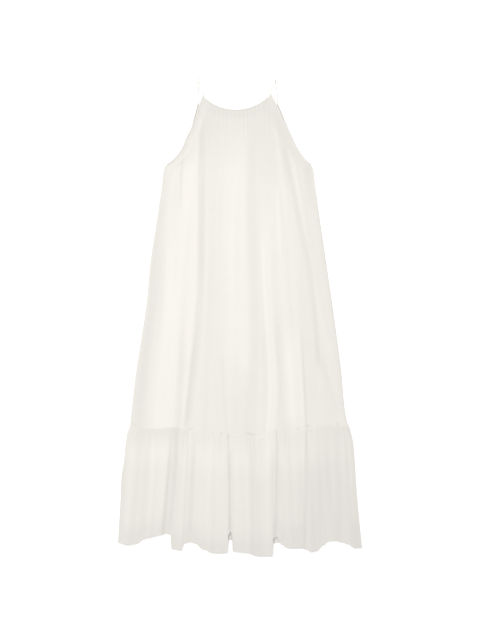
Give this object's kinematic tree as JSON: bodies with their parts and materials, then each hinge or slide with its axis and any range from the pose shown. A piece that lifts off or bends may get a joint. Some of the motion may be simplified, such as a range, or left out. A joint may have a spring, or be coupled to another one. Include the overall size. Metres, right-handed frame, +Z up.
{
  "type": "maxi dress",
  "caption": "Ivory maxi dress laid flat: thin straps, scooped gathered neck, long flared body and a gathered tier at the hem",
  "frame": {"origin": "on the surface the dress lies on, at the middle of its outline", "axes": "+X to the right of someone looking down at the dress with its neck away from them, +Y from hem to neck, +Z up, out of the front of the dress"},
  "size_m": [0.7082, 1.39, 0.0185],
  "materials": {
    "crepe": "light crinkled crepe, ivory, matt with a faint sheen",
    "binding": "rolled bias binding of the same ivory cloth"
  },
  "bodies": {
    "root": {"front_body": "crepe", "back_body": "crepe", "front_tier": "crepe", "back_tier": "crepe", "front_neck_binding": "binding", "back_neck_binding": "binding", "left_armhole_front_binding": "binding", "left_armhole_back_binding": "binding", "right_armhole_front_binding": "binding", "right_armhole_back_binding": "binding", "left_strap": "binding", "right_strap": "binding"}
  },
  "joints": []
}
